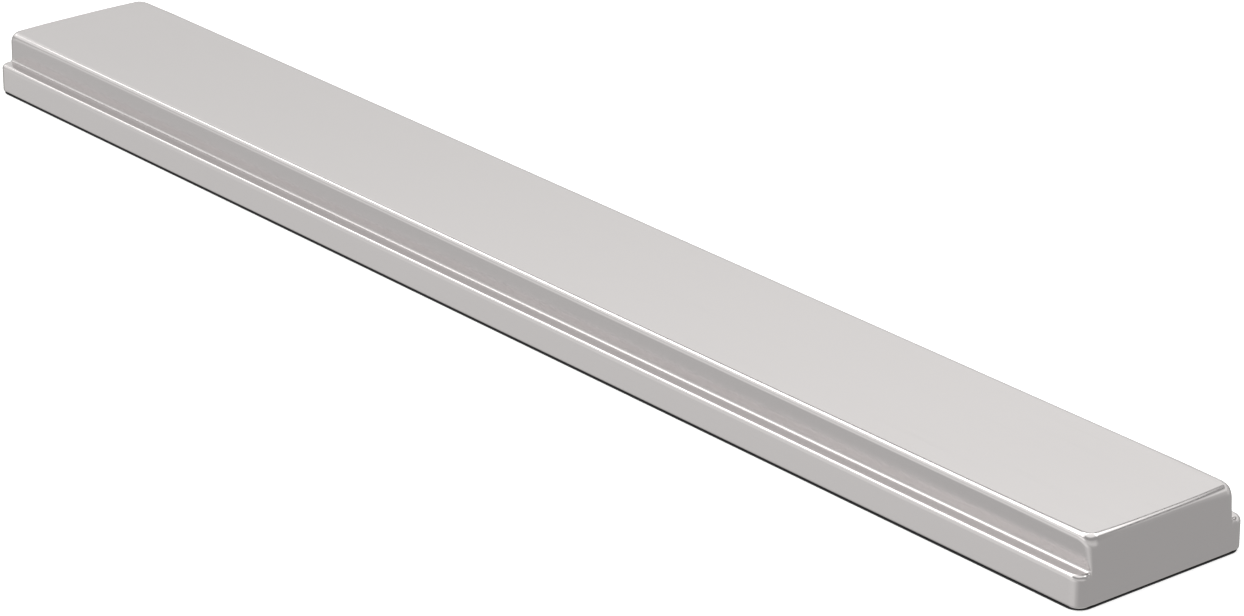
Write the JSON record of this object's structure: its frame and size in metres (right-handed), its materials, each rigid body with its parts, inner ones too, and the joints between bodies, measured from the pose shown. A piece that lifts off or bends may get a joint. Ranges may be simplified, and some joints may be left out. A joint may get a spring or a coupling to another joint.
{
  "type": "magnetic knife rack",
  "caption": "Long stepped stainless magnetic knife bar with a flat holding face and side ledges, closed by a back plate that hooks onto wall brackets.",
  "frame": {"origin": "middle of the back of the bar, in the plane that touches the wall or the table", "axes": "+X along the bar, +Y up when it hangs on a wall, +Z out of the knife face"},
  "size_m": [0.4064, 0.049, 0.016],
  "materials": {
    "satin_stainless": "satin, fine grain along the bar",
    "black_moulding": "moulded black plastic with a fine spark texture",
    "natural_moulding": "unpainted natural moulded plastic",
    "ferrite": "dull grey-black sintered ceramic",
    "mild_steel": "cold rolled strip, oiled",
    "zinc_plate": "bright zinc plated pressed steel",
    "screw_steel": "zinc plated",
    "foam_tape": "white closed-cell foam"
  },
  "bodies": {
    "rack": {"cover_shell": "satin_stainless", "back_plate": "black_moulding", "magnet_carrier": "natural_moulding", "magnet_01": "ferrite", "magnet_02": "ferrite", "magnet_03": "ferrite", "magnet_04": "ferrite", "magnet_05": "ferrite", "magnet_06": "ferrite", "magnet_07": "ferrite", "magnet_08": "ferrite", "magnet_09": "ferrite", "magnet_10": "ferrite", "magnet_11": "ferrite", "magnet_12": "ferrite", "magnet_13": "ferrite", "magnet_14": "ferrite", "pole_rail_upper": "mild_steel", "pole_rail_lower": "mild_steel", "bonding_tape_upper": "foam_tape", "bonding_tape_lower": "foam_tape", "back_screw_1": "screw_steel", "back_screw_2": "screw_steel", "back_screw_3": "screw_steel", "back_screw_4": "screw_steel", "back_screw_5": "screw_steel", "back_screw_6": "screw_steel", "back_screw_7": "screw_steel", "back_screw_8": "screw_steel", "hanger_plate_left": "zinc_plate", "hanger_plate_right": "zinc_plate"},
    "bracket_left": {"wall_bracket_left": "zinc_plate"},
    "bracket_right": {"wall_bracket_right": "zinc_plate"}
  },
  "joints": [
    {"name": "bracket_left_slide", "type": "slide", "parent": "rack", "child": "bracket_left", "axis": [0, -1, 0], "range_m": [0, 0.0065]},
    {"name": "bracket_right_slide", "type": "slide", "parent": "rack", "child": "bracket_right", "axis": [0, -1, 0], "range_m": [0, 0.0065]}
  ],
  "couplings": [
    {"joint": "bracket_right_slide", "follows": "bracket_left_slide", "ratio": 1}
  ]
}
